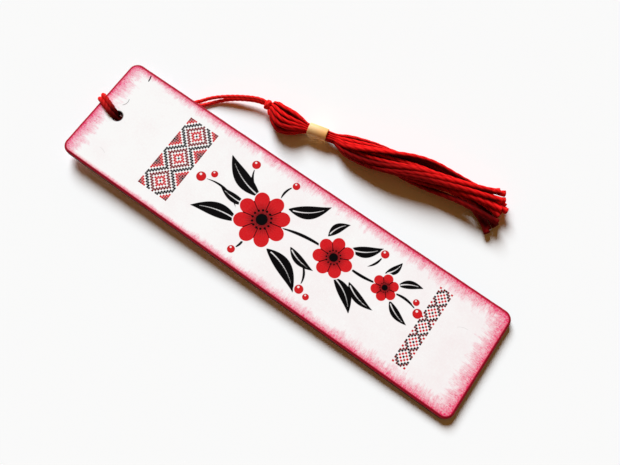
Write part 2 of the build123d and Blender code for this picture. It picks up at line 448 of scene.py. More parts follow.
def cardPlace(along, across, height):
    # a place given along, across and above the card's middle: turned about Y by the tilt, then lifted
    t = np.radians(card.tilt)
    x = along * np.cos(t) + height * np.sin(t)
    z = card.rise - along * np.sin(t) + height * np.cos(t)
    return np.stack(np.broadcast_arrays(x, np.asarray(across, float), z), -1)


cordThread = Settings(
    finish=threadFinish("red_cord", cordLook), slot="red_cord", plies=3, turn=5.5, depth=0.32,
    around=18, step=0.22, fibre=0.14, tip=0.3, tipGroove=0.4, endLit=0.5,
)
cordRadius = 0.7
# dark and darkAt set the painted shade along the hitch, heavier towards the hole
hitchRoute = Settings(
    ends=[(-69.821, 0.475), (-68.412, -0.475)], join=3.55, front=2.33, back=-2.25, diveAside=0.84,
    diveX=-70.75, wrapX=-78.25, nearWrap=-74.4, leftLobe=3.3, leftDraw=0.4, rightLobe=1.65,
    rightDraw=0.75, bight=2.5, full=0.92, fullAt=(4.9, 6.1), dark=(0.22, 0.88), darkAt=(-77.2, -71.4),
)


def hitchPoints():
    # up out of the hole, over the short edge, round the back of the hole, and the same way back
    front, back, diveX, aside, wrapX, near = pick(hitchRoute, "front back diveX diveAside wrapX nearWrap")
    left, leftDraw, right, rightDraw = pick(hitchRoute, "leftLobe leftDraw rightLobe rightDraw")
    hole, bight = card.holeX, hitchRoute.bight
    begin, end = ((*place, hitchRoute.join) for place in hitchRoute.ends)
    places = [(diveX, aside, front), (near, 0.5 * (aside + left), front), (wrapX, left, front)]
    places += [(wrapX, left, back), (near, left - leftDraw, back)]
    places += [(hole + bight, bight, back), (hole + bight, -bight, back), (hole - bight, -bight, back)]
    places += [(near, -rightDraw, back), (wrapX, right, back)]
    places += [(wrapX, right, front), (near, 0.5 * (right - aside), front), (diveX, -aside, front)]
    return [begin, *(cardPlace(*place) for place in places), end]


def hitchThickness(line, at):
    # fuller where it lies on the front, above a height, than in the hole and on the back
    return np.interp(line[:, 2], hitchRoute.fullAt, (cordRadius, hitchRoute.full))


def hitchPaintedShade(line):
    # painted shade: bright over the short edge, darker towards the hole
    return np.interp(line[:, 0], hitchRoute.darkAt, hitchRoute.dark)


twistedPiece(
    "hitch", "cord_hitch", "card", cordThread, hitchPoints(), hitchThickness, (1, 0, 0), shade=hitchPaintedShade
)
print("hitch tied")

legLook = Settings(thin=0.66, thinAt=(17.0, 23.0))


def legThickness(line, at):
    # pulled thinner once it has come out from under the card
    return np.interp(line[:, 1], legLook.thinAt, (cordRadius, legLook.thin))


legRoutes = {
    "cord_leg_left": [
        (-69.821, 0.475, 3.75), (-69.821, 0.475, 0.7), (-67.021, 4.618, 0.7), (-61.984, 11.668, 0.7),
        (-52.2, 21.7, 0.75), (-48.9, 25.7, 1.7), (-43.2, 29.6, 2.9), (-36.167, 33.44, 3.9),
        (-31.966, 34.57, 4.331), (-31.05, 34.40, 4.0),
    ],
    "cord_leg_right": [
        (-68.412, -0.475, 3.75), (-68.412, -0.475, 0.7), (-65.632, 3.638, 0.7), (-60.625, 10.485, 0.7),
        (-50.4, 21.2, 0.7), (-47.3, 25.3, 0.75), (-42.9, 29.6, 1.25), (-35.9, 33.25, 2.35),
        (-31.866, 34.23, 2.669), (-31.05, 34.30, 3.0),
    ],
}

tieLook = Settings(
    knot=(-30.4289, 34.191, 3.5), knotPlaces=34, turns=2.4, begin=200.0, drawIn=0.35, across=1.35,
    up=1.0, long=1.5, thick=0.66, bar=(-26.8082, 34.3174, 3.5), heading=2.0, loopThick=0.32,
    loopSides=(2.6, 2.9), loopShoulder=1.92, loopStart=0.78,
)


def knotPoints():
    # a winding about the tassel's line, wider than high, drawn in at both ends by sin(pi t)^drawIn
    t = np.linspace(0.0, 1.0, tieLook.knotPlaces)[:, None]
    turn = 2 * np.pi * tieLook.turns * t + np.radians(tieLook.begin)
    r = np.sin(np.pi * t) ** tieLook.drawIn
    way, aside = wayAndSide(tieLook.heading)
    across, up = tieLook.across * r * np.cos(turn), tieLook.up * r * np.sin(turn)
    return np.array(tieLook.knot) + tieLook.long * (t - 0.5) * way + across * aside + up * upward


def loopPoints():
    # from the knot, along both sides of the folded yarns, with a bar through the fold;
    # each place is set out before the bar and aside of it, then turned by the heading
    upper, lower = tieLook.loopSides
    shoulder, start = tieLook.loopShoulder, tieLook.loopStart
    bar = np.array(tieLook.bar)
    reach = np.linalg.norm(bar - tieLook.knot) - start
    way, aside = wayAndSide(tieLook.heading)
    places = [(reach, start), (shoulder, upper), (0.0, upper), (0.0, 0.0)]
    places += [(0.0, -lower), (shoulder, -lower), (reach, -start)]
    return [bar - way * before + aside * off for before, off in places]


knot, loop = (
    twistedPiece(name, "tie_" + name, "tie", cordThread, points, thick, (0, 0, 1))[0]
    for name, points, thick in (
        ("knot", knotPoints(), tieLook.thick),
        ("loop", loopPoints(), tieLook.loopThick),
    )
)
for legName, route in legRoutes.items():
    leg, line, long = twistedPiece(
        legName + "_rope", legName, "cord", cordThread, route, legThickness, (-0.8, 0.6, 0)
    )
    print(legName, "is", round(long, 1), "mm long")


# the tassel's yarns

tassel = Settings(
    seed=11, height=3.29149, headLength=12.1, neck=(-14.7156, 34.7397, 3.29149), neckHeading=13.0,
    neckLength=11.7, pitch=0.74, reach=1.52556,
    belly=[(0.16, -1.6, 2.4, 2.4), (0.5, -1.95, 2.75, 2.75)], foldBulge=0.5,
    skirt=[
        (4.0, -1.0, 2.15, 1.6, 1.2, 0.0, -14.0), (16.0, -1.6, 3.4, 1.9, 2.1, 0.0, -56.0),
        (31.0, -0.8, 3.55, 1.9, 2.4, 0.1, -103.0), (44.0, -1.5, 2.5, 1.8, 2.0, 0.2, -140.0),
        (54.0, -2.1, 3.3, 1.6, 1.3, 0.7, -170.0), (62.8, -4.5, 6.4, 1.3, 0.8, 1.9, -200.0),
    ],
    headWander=0.25, wander=0.36, cutStep=0.618, endCut=3.4, upperCut=4.8, lowerCut=4.6, shoulder=1.3,
    fullness=0.06, floor=0.02,
    thickAt=[-14.0, -12.6, -10.5, -3.0, -0.3, 0.7, 11.0, 11.9, 16.7, 61.7, 71.7, 77.7],
    thick=[0.57, 0.66, 0.84, 0.82, 0.52, 0.385, 0.385, 0.56, 0.86, 0.96, 0.96, 0.96], fray=0.26,
    frayLength=2.2, lift=1.1, lowerDark=[0.36, 0.66, 0.66, 0.86], lowerDarkAt=[0.0, 11.7, 58.0, 72.0],
    darkest=0.9, strandDark=0.16,
)
# name, yarns in the row, half height in the neck, radius and spread of the fold, share of the twist
yarnRows = [
    ("yarn_inner", 5, 0.37, 0.94, 1.5, 0.66),
    ("yarn_outer", 4, 1.01086, 1.58086, 1.5, 1.04),
]
yarnThread = Settings(
    finish=threadFinish("red_yarn", yarnLook), slot="red_yarn", plies=3, turn=10.0, depth=0.24,
    around=18, step=0.42, fibre=0.1, tip=0.35, tipGroove=0.4, endLit=2.2,
)
bar, neck = np.array(tieLook.bar), np.array(tassel.neck)
headWay, headSide = wayAndSide(tieLook.heading)
neckWay, neckSide = wayAndSide(tassel.neckHeading)


def alongNeck(line):
    # distance along the neck's line from where it begins
    return (line - neck) @ neckWay


def headPlace(part, side, height):
    # a share of the head's length past the bar, aside of the head's line, at a height
    x, y, _ = bar + headWay * part * tassel.headLength + headSide * side
    return np.array([x, y, height])


def skirtPlace(distance, side, height):
    # a distance past the neck's end, aside of the neck's line, at a height
    x, y, _ = neck + neckWay * (tassel.neckLength + distance) + neckSide * side
    return np.array([x, y, height])


def strandPoints(across, up, fold, foldSpread, twistShare, share, wander):
    # half a folded yarn: round the bar, out to the head's belly, in through the bead and out along the
    # skirt, where its place in the bundle is turned by the twist, spread, and moved by the wander;
    # the middle of the fold bulges towards the knot by 1 - (across / reach)^2
    bulge = tassel.foldBulge * (1 - (across / tassel.reach) ** 2)
    points = [bar - headWay * (abs(fold) + bulge) + headSide * across * foldSpread + fold * upward]
    for place, moved in zip(tassel.belly, wander * tassel.headWander):
        part, offset, spreadAcross, spreadUp = place
        side = offset + across * spreadAcross + moved[0]
        points.append(headPlace(part, side, tassel.height + up * spreadUp + moved[1]))
    shoulder, neckLength = tassel.shoulder, tassel.neckLength
    for way in (0.0, shoulder, neckLength - shoulder, neckLength):
        points.append(neck + neckWay * way + neckSide * across + up * upward)
    for place, moved in zip(tassel.skirt, wander[len(tassel.belly) :] * tassel.wander):
        distance, offset, spreadAcross, spreadUp, rest, flare, turn = place
        c, s = np.cos(np.radians(turn * twistShare)), np.sin(np.radians(turn * twistShare))
        u, v = across * c - up * s, across * s + up * c
        side = offset + u * spreadAcross - flare * max(-u, 0.0) ** 2 + moved[0]
        points.append(skirtPlace(distance, side, spreadUp * (tassel.reach + v) + rest + moved[1]))
    # the end is cut back along the line, more on the bundle's two sides than in its middle
    back = points[-2] - points[-1]
    aside = u / tassel.reach
    cut = tassel.endCut * share + max(tassel.upperCut * aside, -tassel.lowerCut * aside)
    points[-1] = points[-1] + back / np.linalg.norm(back) * cut
    return points


def yarnThickness(line, at):
    # by the distance along the neck: thin in the bead, full in the head and the skirt, frayed at the ends
    toEnd = np.minimum(at, at[-1] - at)
    frayed = tassel.fray * np.clip(1 - toEnd / tassel.frayLength, 0.0, 1.0)
    return np.interp(alongNeck(line), tassel.thickAt, tassel.thick) + frayed


def bundleMiddle(line):
    # the middle of the bundle beside each place of a line, read off by the distance along the neck
    rows = [bar]
    rows += [headPlace(part, offset, tassel.height) for part, offset, _, _ in tassel.belly]
    rows += [neck, neck + neckWay * tassel.neckLength]
    for distance, offset, _, spreadUp, rest, _, _ in tassel.skirt:
        rows.append(skirtPlace(distance, offset, spreadUp * tassel.reach + rest))
    rows = np.array(rows)
    return np.stack([np.interp(alongNeck(line), alongNeck(rows), rows[:, k]) for k in range(3)], -1)


def outOfBundle(line):
    # from the bundle's middle to the strand, leaning up
    out = line - bundleMiddle(line) + tassel.lift * upward
    return out / np.maximum(np.linalg.norm(out, axis=1, keepdims=True), 1e-9)


def strandShade(line, own):
    # darker on the bundle's lower side, away from the light, most at the ends, and by a share of its own
    aside = (bundleMiddle(line) - line) @ neckSide
    lower = np.clip(aside / (2 * tassel.reach), 0.0, 1.0)
    dark = np.interp(alongNeck(line), tassel.lowerDarkAt, tassel.lowerDark)
    return np.clip(dark * lower + tassel.strandDark * own, 0.0, tassel.darkest)


def buildTassel():
    # the yarns of each row side by side; a yarn's two halves are folded up and down and wander on their own
    chance = np.random.default_rng(tassel.seed)
    count = 0
    for rowName, columns, up, fold, foldSpread, twistShare in yarnRows:
        for column in range(columns):
            across = (column - (columns - 1) / 2) * tassel.pitch
            halves = []
            for hand in (1, -1):
                share = (count * tassel.cutStep + 0.5 * (hand < 0)) % 1
                wander = chance.uniform(-1, 1, (len(tassel.belly) + len(tassel.skirt), 2))
                place = across, hand * up, hand * fold, foldSpread, twistShare
                halves.append(strandPoints(*place, share, wander))
            full = 1 + chance.uniform(-1, 1) * tassel.fullness
            own = chance.uniform(0, 1)
            node = f"{rowName}_{column + 1}"
            twistedPiece(
                node + "_strand", node, "tassel", yarnThread, halves[1][::-1] + halves[0],
                lambda line, at: yarnThickness(line, at) * full, (0, 1, 0),
                floor=tassel.floor, outward=outOfBundle, shade=lambda line: strandShade(line, own),
            )
            count += 1
    print("tassel made of", count, "folded yarns")


buildTassel()


# the bead

# the honey tone, its lean and its spread paint shade on the bead's side away from the light
beadLook = Settings(
    middle=(-10.2335, 35.7745, 3.29149), length=6.8, bore=1.9255, outside=2.3455, belly=0.04, rim=0.2,
    boreRim=0.1, boreFrom=0.4, rimRings=6, barrelRings=11, boreRings=7, around=96,
    cream=(0.96, 0.64, 0.30), tan=(0.93, 0.50, 0.17), honey=(0.90, 0.40, 0.09), pore=(0.60, 0.25, 0.06),
    roughness=0.5, streaks=((0.25, 1.6, 1.6), 3.0, 0.55), streakStops=(0.28, 0.52),
    pores=((0.7, 7.0, 7.0), 2.0), poreSpread=(0.62, 0.75, 0.0, 0.45), honeyLean=0.55,
    honeySpread=(-2.6, 2.8, 0.0, 0.85), roughSpread=(0.2, 0.8, 0.62, 0.45), bump=(0.12, 0.06),
)


def beadFinish():
    # turned wood: long streaks along the tube and fine pores, with honey mixed in as painted shade,
    # growing to one end and to the side away from the light
    finish, tree, shader = newFinish("bead_wood", beadLook.roughness)
    place = readMark(tree, "turned", "Vector")
    along, aside, _ = threeParts(place)
    streak, pores = grain(place, *beadLook.streaks), grain(place, *beadLook.pores)
    tone, _ = toneRamp(streak, list(zip(beadLook.streakStops, pick(beadLook, "tan cream"))))
    shadedSide = along - aside * beadLook.honeyLean
    tone = mixTone(spread(shadedSide, *beadLook.honeySpread), tone, beadLook.honey)
    tone = mixTone(spread(pores, *beadLook.poreSpread), tone, beadLook.pore)
    feed(shader, {"Base Color": tone, "Roughness": spread(streak, *beadLook.roughSpread)})
    raiseGrain(shader, pores, *beadLook.bump)
    return finish


def buildBead():
    # a closed outline of half lengths and radii, turned about the neck's line
    half = beadLook.length / 2
    rim, lip, bore, outside, boreFrom = pick(beadLook, "rim boreRim bore outside boreFrom")
    turn = np.radians(np.linspace(0, 90, beadLook.rimRings))
    c, s = np.cos(turn), np.sin(turn)
    barrel = inBetween(-half + rim, half - rim, beadLook.barrelRings)
    inner = np.linspace(half - boreFrom, -half + boreFrom, beadLook.boreRings)
    belly = outside + beadLook.belly * (1 - (barrel / half) ** 2)
    along = [-half + rim - rim * c, barrel, half - rim + rim * s]
    along += [half - lip + lip * c, inner, -half + lip - lip * s]
    radius = [outside - rim + rim * s, belly, outside - rim + rim * c, bore + lip - lip * s]
    radius += [np.full(len(inner), bore), bore + lip - lip * c]
    phi = np.linspace(0, 2 * np.pi, beadLook.around, endpoint=False)
    a, r = np.concatenate(along)[:, None], np.concatenate(radius)[:, None]
    turned = np.stack(np.broadcast_arrays(a, r * np.cos(phi), r * np.sin(phi)), -1).reshape(-1, 3)
    places = np.array(beadLook.middle) + turned @ np.array([neckWay, neckSide, upward])
    faces = gridFaces(len(a), len(phi), joinRows=True, joinColumns=True).tolist()
    addPiece("bead_tube", places, faces, beadFinish(), "bead", "bead", {"turned": turned})
    print("bead turned")


buildBead()


# the card's blank

# the wall's low and side tones are partly the edge's ink and partly painted shade; the hole's tone is
# painted shade
blankLook = Settings(
    along=220, across=56, corner=16, wander=0.035, waves=[(23, 1, 1.0), (41, 0, 1.0), (87, 2, 0.7)],
    lastRun=0.7, holeSoft=0.12, rimRings=9, wallRings=4, flatRings=7, holeRings=3,
    rimTone=(0.35, 0.007, 0.020), sideTone=(0.022, 0.001, 0.003), lowTone=(0.008, 0.0006, 0.0015),
    holeTone=(0.012, 0.003, 0.003), backTone=(0.80, 0.74, 0.70), backPink=(0.76, 0.16, 0.30),
    roughness=0.5, shine=0.1, fibres=((0.35, 0.35, 5.0), 3.0, 0.6), fibreShare=0.8,
    patches=(0.55, 4.0, 0.6), patchShare=0.7, levels=(-1.5, 1.5), levelStops=(0.1, 0.72, 0.9),
    strokes=((1.2, 1.2, 1.0), 3.0, 0.6), strokeReach=(0.25, 0.75, 1.2, 5.5), backLevels=(-1.40, -1.48),
    roughSpread=(0.2, 0.8, 0.42, 0.6), bump=(0.18, 0.05),
)


def outlineNormals():
    # the inner rectangle's places and the ways out: a rounded outline is place + way x radius
    halfX, halfY = card.length / 2 - card.corner, card.width / 2 - card.corner
    runs = []
    corners = [(halfX, -halfY, -90), (halfX, halfY, 0), (-halfX, halfY, 90), (-halfX, -halfY, 180)]
    for k, (x, y, begin) in enumerate(corners):
        turn = np.radians(np.linspace(begin, begin + 90, blankLook.corner + 1))
        runs.append(np.c_[np.full(turn.shape, x), np.full(turn.shape, y), np.cos(turn), np.sin(turn)])
        nx, ny, _ = corners[(k + 1) % 4]
        count = blankLook.across if k % 2 == 0 else blankLook.along
        t = inBetween(0.0, 1.0, count - 1)[:, None]
        way = np.array([[np.cos(turn[-1]), np.sin(turn[-1])]])
        runs.append(np.hstack([(1 - t) * [[x, y]] + t * [[nx, ny]], np.repeat(way, len(t), 0)]))
    found = np.concatenate(runs)
    return found[:, :2], found[:, 2:]


def blankFinish():
    # red ink rubbed in, bright on the rim and streaky on the back; the wall's dark is partly its ink and
    # partly painted shade, darkest at the bottom, and the hole's dark is painted shade
    look = blankLook
    finish, tree, shader = newFinish("inked_wood", look.roughness)
    inMm, level = placeInMm(tree), readMark(tree, "level")
    fibres, patches = grain(inMm, *look.fibres), grain(inMm, *look.patches)
    share = level + (patches - 0.5) * look.patchShare + (fibres - 0.5) * look.fibreShare
    tones = pick(look, "lowTone sideTone rimTone")
    wall, _ = toneRamp(spread(share, *look.levels), list(zip(look.levelStops, tones)))
    wall = mixTone(readMark(tree, "hole"), wall, look.holeTone)
    reach = spread(grain(inMm, *look.strokes), *look.strokeReach)
    pink = (1.0 - readMark(tree, "inset") / reach).clamped()
    back = mixTone(pink, look.backTone, look.backPink)
    tone = mixTone(spread(level, *look.backLevels), wall, back)
    rough = spread(patches, *look.roughSpread)
    feed(shader, {"Base Color": tone, "Roughness": rough, "Specular IOR Level": look.shine})
    raiseGrain(shader, fibres, *look.bump)
    return finish


def buildBlank():
    # rings from the hole's edge out over the front, round the rim, under the back and up the hole again;
    # each ring has its share of the way out from the hole, its inset from the outline and its height
    core, normal = outlineNormals()
    outer = core + normal * card.corner
    hole = np.array([card.holeX, 0.0])
    rays = (outer - hole) / np.linalg.norm(outer - hole, axis=1, keepdims=True)
    (edge, top, bottom), soft = pick(card, "edgeRound top bottom"), blankLook.holeSoft

    def rings(blend, inset, height):
        return np.stack(np.broadcast_arrays(blend, inset, height), -1)

    turn = np.radians(np.linspace(0, 90, blankLook.rimRings))
    upper = rings(1.0, edge - edge * np.sin(turn), top - edge + edge * np.cos(turn))
    wall = rings(1.0, 0.0, inBetween(top - edge, bottom + edge, blankLook.wallRings))
    lower = rings(1.0, edge - edge * np.cos(turn), bottom + edge - edge * np.sin(turn))
    outward = inBetween(0.0, 1.0, blankLook.flatRings)
    front, back = rings(outward, edge, top), rings(outward[::-1], edge, bottom)
    rise = inBetween(bottom, top, blankLook.holeRings)
    holeWall = rings(0.0, edge, [bottom, bottom + soft, *rise, top - soft, top])
    blend, inset, height = np.concatenate([front, upper, wall, lower, back, holeWall]).T[..., None]
    # the rim wanders by a few waves that close round the outline
    run = np.r_[0.0, np.cumsum(np.linalg.norm(np.diff(outer, axis=0), axis=1))]
    sway = 2 * np.pi * run / (run[-1] + blankLook.lastRun)
    waves = sum(size * np.sin(count * sway + begin) for count, begin, size in blankLook.waves)
    wander = blankLook.wander * waves / sum(size for _, _, size in blankLook.waves)
    onRim = inset < edge - 1e-9
    rim = core + normal * (card.corner - inset - wander * onRim)[..., None]
    plan = (hole + rays * card.holeRadius) * (1 - blend[..., None]) + rim * blend[..., None]
    height = np.broadcast_to(height, plan.shape[:2])
    inEdge = np.array([card.length, card.width]) / 2 - np.abs(plan)
    marks = {
        "level": height.ravel(),
        "inset": inEdge.min(-1).ravel(),
        "hole": np.broadcast_to(1.0 * (blend == 0), height.shape).ravel(),
    }
    places = cardPlace(plan[..., 0], plan[..., 1], height).reshape(-1, 3)
    faces = gridFaces(len(blend), len(outer), joinRows=True, joinColumns=True).tolist()
    addPiece("blank", places, faces, blankFinish(), "card", "card_blank", marks)
    print("blank cut,", len(faces), "faces")


buildBlank()


# the printed sheet

sheetLook = Settings(
    halfX=77.05, halfY=19.55, corner=2.85, top=1.5, under=1.3,
    drop=0.16, dropWidth=0.4, holeDrop=1.6, holeZone=4.0,
    artFrom=-52.0, artTo=60.0, artHalf=16.0,
    edgeStep=0.125, holeStep=0.2, zoneStep=0.25,
    plainStep=0.3, sideStep=0.4, artStep=0.26,
    cream=(0.985, 0.975, 0.965), blush=(0.950, 0.868, 0.870),
    castSlope=0.0042, castMiddle=0.30,
    mottle=(0.13, 4.0, 0.55), mottleShare=1.5, flecks=(1.5, 3.0, 0.7), fleckShare=1.2,
    red=(0.66, 0.006, 0.010), deepRed=(0.15, 0.001, 0.003), redStops=(0.05, 0.75),
    black=(0.0015, 0.0008, 0.001), paleShare=0.9,
    inkEdge=(0.07, -0.07), inkGrain=(2.4, 3.0, 0.7), inkSpread=(0.3, 0.7, 0.982, 1.0),
    upperReach=(3.2, 5.8), lowerReach=(1.1, 5.6), holeReach=6.6, farReach=6.4,
    holePink=(0.89, 0.06, 0.24), farPink=(0.89, 0.038, 0.17),
    specks=(2.1, 3.0, 0.7), speckSpread=(0.3, 0.7, 0.55, 1.4),
    dashPink=(0.62, 0.02, 0.09), dashes=((1.6, 1.6, 1.0), 4.0, 0.75),
    dashSpread=(0.52, 0.64, 0.0, 0.9), dashFrom=(0.08, 0.4),
    deepPink=(0.80, 0.016, 0.085),
    deepSpread=(1.5, 0.0, 0.0, 0.75), deepSpecks=(0.25, 0.75, 0.5, 1.4),
    rim=(0.39, 0.008, 0.026), rimRagged=0.5, rimSpread=(0.54, 0.30),
    # the hole's dark tone and its spread are painted shade on the edge of the hole
    holeDark=(0.02, 0.006, 0.006), holeSpread=(0.42, 0.0),
    varnish=((0.25, 1.1, 1.0), 3.0, 0.6), roughSpread=(0.2, 0.8, 0.49, 0.63),
    roughness=0.55, shine=0.02, bump=(0.10, 0.06),
)
# a brush drawn across an edge: its grains, what each adds to a stroke, and what the strokes change
brushLook = Settings(
    coarse=((0.7, 0.10, 1.0), 2.0, 0.5), hairs=((3.6, 0.7, 1.0), 3.0, 0.65), hairShare=0.8,
    blots=(0.32, 3.0, 0.6), blotShare=1.1,
    reachSpread=(0.45, 1.35, 0.55, 1.45), hairSpread=(0.3, 0.7, 0.7, 1.3),
)
scuffSoft = (0.07, -0.05)  # a mark of use fades from inside to outside its half width

# marks of use: begin and end along and across the card, sideways bow, half width, strength
scuffs = [
    ((-69.35, 18.5), (-68.77, 16.5), 0.1, 0.2, 1.0),
    ((-70.19, 4.31), (-69.77, 7.23), -0.48, 0.12, 0.62),
    ((-66.4, -12.2), (-63.9, -12.9), 0.2, 0.06, 0.2), ((64.2, 6.4), (67.4, 7.6), 0.35, 0.06, 0.2),
]
# x, y, radius, petals, turn in degrees
flowers = [(-7.0, -1.0, 9.4, 8, 10.0), (19.5, 2.2, 6.9, 7, 0.0), (38.5, 3.6, 4.6, 6, 20.0)]
# base x, base y, heading in degrees, length, width, bend
leaves = [
    (-12.0, 5.0, 158.0, 18.0, 5.2, 1.6), (-13.0, -6.0, 196.0, 17.0, 5.0, -1.4),
    (-14.0, 0.0, 178.0, 11.0, 3.0, 0.6), (-2.0, 7.0, 38.0, 14.5, 4.6, -1.6),
    (0.0, -8.0, -24.0, 17.0, 5.0, 1.8), (6.0, -3.0, -12.0, 11.0, 3.0, -1.0),
    (14.0, 7.0, 62.0, 8.5, 3.2, 1.0), (22.0, 7.5, 36.0, 11.5, 3.8, -1.2),
    (23.0, -3.0, -34.0, 13.0, 4.0, 1.4), (28.0, -1.5, -16.0, 12.0, 3.0, -1.2),
    (36.0, 7.5, 66.0, 7.0, 2.6, -0.8), (41.5, 6.5, 28.0, 8.5, 2.8, 0.8),
    (42.0, 1.0, -22.0, 9.5, 2.8, -0.8),
]
# tendrils are drawn as very narrow leaves: base x, base y, heading, length, width, bend
tendrils = [
    (-16.0, -3.0, 172.0, 16.0, 0.9, -2.4), (-14.0, 6.0, 128.0, 9.0, 0.8, 1.4),
    (-6.0, 8.0, 78.0, 7.0, 0.8, 0.9), (-8.0, -9.0, -100.0, 5.5, 0.8, 0.6),
    (-1.0, 0.0, 8.0, 20.0, 1.1, 1.2), (24.0, 2.5, 6.0, 14.0, 1.0, -0.8),
    (12.0, -5.0, -62.0, 8.5, 0.8, 1.2), (41.0, 3.5, -4.0, 10.5, 0.9, 1.2),
    (30.0, 6.0, 70.0, 7.0, 0.8, -0.8),
]
# x, y, radius
berries = [
    (-32.4, -0.6, 1.7), (-29.2, 2.6, 1.2), (-19.8, 13.4, 1.5), (-4.4, 15.0, 1.3), (-9.2, -14.8, 1.3),
    (16.4, -12.8, 1.5), (19.6, -13.6, 1.1), (51.6, 2.6, 1.6), (49.4, 5.4, 1.1), (32.6, 12.8, 1.4),
]
# lengths are shares of a leaf's length or of a flower's or a berry's radius, or mm where the name says so
leafLook = Settings(swell=0.85, ribMm=0.20, ribTaper=1.15, ribMiddle=0.46, ribHalf=0.36)
flowerLook = Settings(
    petal=(0.68, 0.32, 0.6), seamMm=0.16, seamFrom=0.34, heart=0.21,
    tone=(0.18, 0.62, 0.9), veins=5, veinTone=0.16, veinTo=1.2,
    dots=14, dotsAt=0.34, dot=0.045, clearMm=0.4, paleClearMm=0.2, toneToMm=0.1,
)
berryLook = Settings(clearMm=0.35, shineAt=0.35, shine=0.26, tone=(0.55, 0.4))
stitchLook = Settings(cell=0.7, cross=(0.46, 0.36), inside=(0.50, 0.45))
# tones of the stitches and how far they cover
inkTones = {
    "b": (0.006, 0.003, 0.004, 1.0), "r": (0.62, 0.006, 0.012, 1.0), "d": (0.20, 0.003, 0.006, 1.0),
    ".": (1.0, 1.0, 1.0, 0.0),
}
# middle x, half columns, half rows, period in cells, tones by ring from the lozenge's middle outwards
bands = [(-42.4, 8, 20, 7, "b.rr.dd.bb.rrddbb"), (55.4, 3, 20, 4, "b.r.bd.rbbbbbbbb")]


def leafInk(x, y, leaf):
    # half width w/2 sin(pi s^swell) about a midrib bent by 4 b s (1 - s), s from 0 at the base to 1
    baseX, baseY, headingNow, length, width, bend = leaf
    c, s = np.cos(np.radians(headingNow)), np.sin(np.radians(headingNow))
    along = ((x - baseX) * c + (y - baseY) * s) / length
    off = -(x - baseX) * s + (y - baseY) * c - 4 * bend * along * (1 - along)
    within = np.clip(along, 0.0, 1.0)
    half = width / 2 * np.sin(np.pi * within ** leafLook.swell)
    beyond = np.maximum(np.abs(along - 0.5) - 0.5, 0.0) * length
    return np.abs(off) - half + beyond, off, along


def flowerInk(x, y, flower):
    # petal edge at R (least + lobed |cos(n a / 2)|^power), n the petals; seams where that cosine is 0
    cx, cy, size, petals, turn = flower
    least, lobed, power = flowerLook.petal
    toneFrom, toneOver, tonePower = flowerLook.tone
    seamMm, seamFrom, heart, veins, veinTone, veinTo = pick(
        flowerLook, "seamMm seamFrom heart veins veinTone veinTo"
    )
    count, dotsAt, dot = pick(flowerLook, "dots dotsAt dot")
    r = np.hypot(x - cx, y - cy)
    a = np.arctan2(y - cy, x - cx) + np.radians(turn)
    lobe = np.abs(np.cos(petals * a / 2))
    edge = r - size * (least + lobed * lobe**power)
    seam = np.maximum(r * 2 / petals * np.arcsin(lobe) - seamMm, seamFrom * size - r)
    tone = np.clip((r / size - toneFrom) / toneOver, 0, 1) ** tonePower
    tone += veinTone * np.cos(petals * veins * a) * np.clip(veinTo - r / size, 0, 1)
    spot = ((a * count / (2 * np.pi) + 0.5) % 1 - 0.5) * 2 * np.pi / count * r
    dots = np.hypot(r - dotsAt * size, spot) - dot * size
    return edge, np.minimum.reduce([np.maximum(seam, edge), r - heart * size, dots]), tone


def artMarks(x, y):
    # distances in mm to each ink, less than 0 where it lies; later shapes lie over earlier ones
    far, plainTone = 9.0, 0.7  # no ink near, and the red's tone where no shape sets it
    red, black, pale, tone = (np.full(x.shape, value) for value in (far, far, far, plainTone))
    rib, taper, middle, reach = pick(leafLook, "ribMm ribTaper ribMiddle ribHalf")
    for leaf in leaves:
        ink, off, along = leafInk(x, y, leaf)
        length = leaf[3]
        black = np.minimum(black, ink)
        aside, beyond = np.abs(off) - rib * (taper - along), (np.abs(along - middle) - reach) * length
        pale = np.minimum(pale, np.maximum.reduce([aside, beyond, ink]))
    for tendril in tendrils:
        black = np.minimum(black, leafInk(x, y, tendril)[0])
    clear, shineAt, shine, (least, more) = pick(berryLook, "clearMm shineAt shine tone")
    for bx, by, size in berries:
        r = np.hypot(x - bx, y - by)
        black = np.maximum(black, size + clear - r)
        red = np.minimum(red, r - size)
        lit = np.hypot(x - bx + shineAt * size, y - by - shineAt * size) - shine * size
        pale = np.minimum(np.maximum(pale, size - r), lit)
        tone = np.where(r < size, least + more * (1 - r / size), tone)
    clear, paleClear, toneTo = pick(flowerLook, "clearMm paleClearMm toneToMm")
    for flower in flowers:
        edge, ink, shade = flowerInk(x, y, flower)
        black = np.minimum(np.maximum(black, clear - edge), ink)
        pale = np.maximum(pale, paleClear - edge)
        red = np.minimum(np.maximum(red, clear - edge), edge)
        tone = np.where(edge < toneTo, shade, tone)
    return {"inkRed": red, "inkBlack": black, "inkPale": pale, "redTone": tone}


def gridLines(stops, steps):
    # lines from stop to stop, spaced evenly at about that stretch's step
    parts = [
        np.linspace(a, b, max(int(round((b - a) / step)), 1) + 1)[:-1]
        for a, b, step in zip(stops, stops[1:], steps)
    ]
    return np.r_[np.concatenate(parts), stops[-1]]


def stitches(x, y, colour, band):
    # cross stitches in square cells: a lozenge's ring is its columns from the middle plus its folded rows
    middleX, halfColumns, halfRows, period, tones = band
    gx, gy = (x - middleX) / stitchLook.cell, y / stitchLook.cell
    ix, iy = sums("ROUND", gx), sums("ROUND", gy)
    fx, fy, columns, rows = abs(gx - ix), abs(gy - iy), abs(ix), abs(iy)
    ring = columns + sums("PINGPONG", iy, float(period))
    stops = [(k / len(tones), inkTones[tone]) for k, tone in enumerate(tones)]
    tone, cover = toneRamp((ring + 0.5) / float(len(tones)), stops, "CONSTANT")
    cross = spread(abs(fx - fy), *stitchLook.cross)
    inside = spread(sums("MAXIMUM", fx, fy), *stitchLook.inside)
    held = sums("LESS_THAN", columns, halfColumns + 0.5) * sums("LESS_THAN", rows, halfRows + 0.5)
    return mixTone(cross * inside * (held * cover), colour, tone)


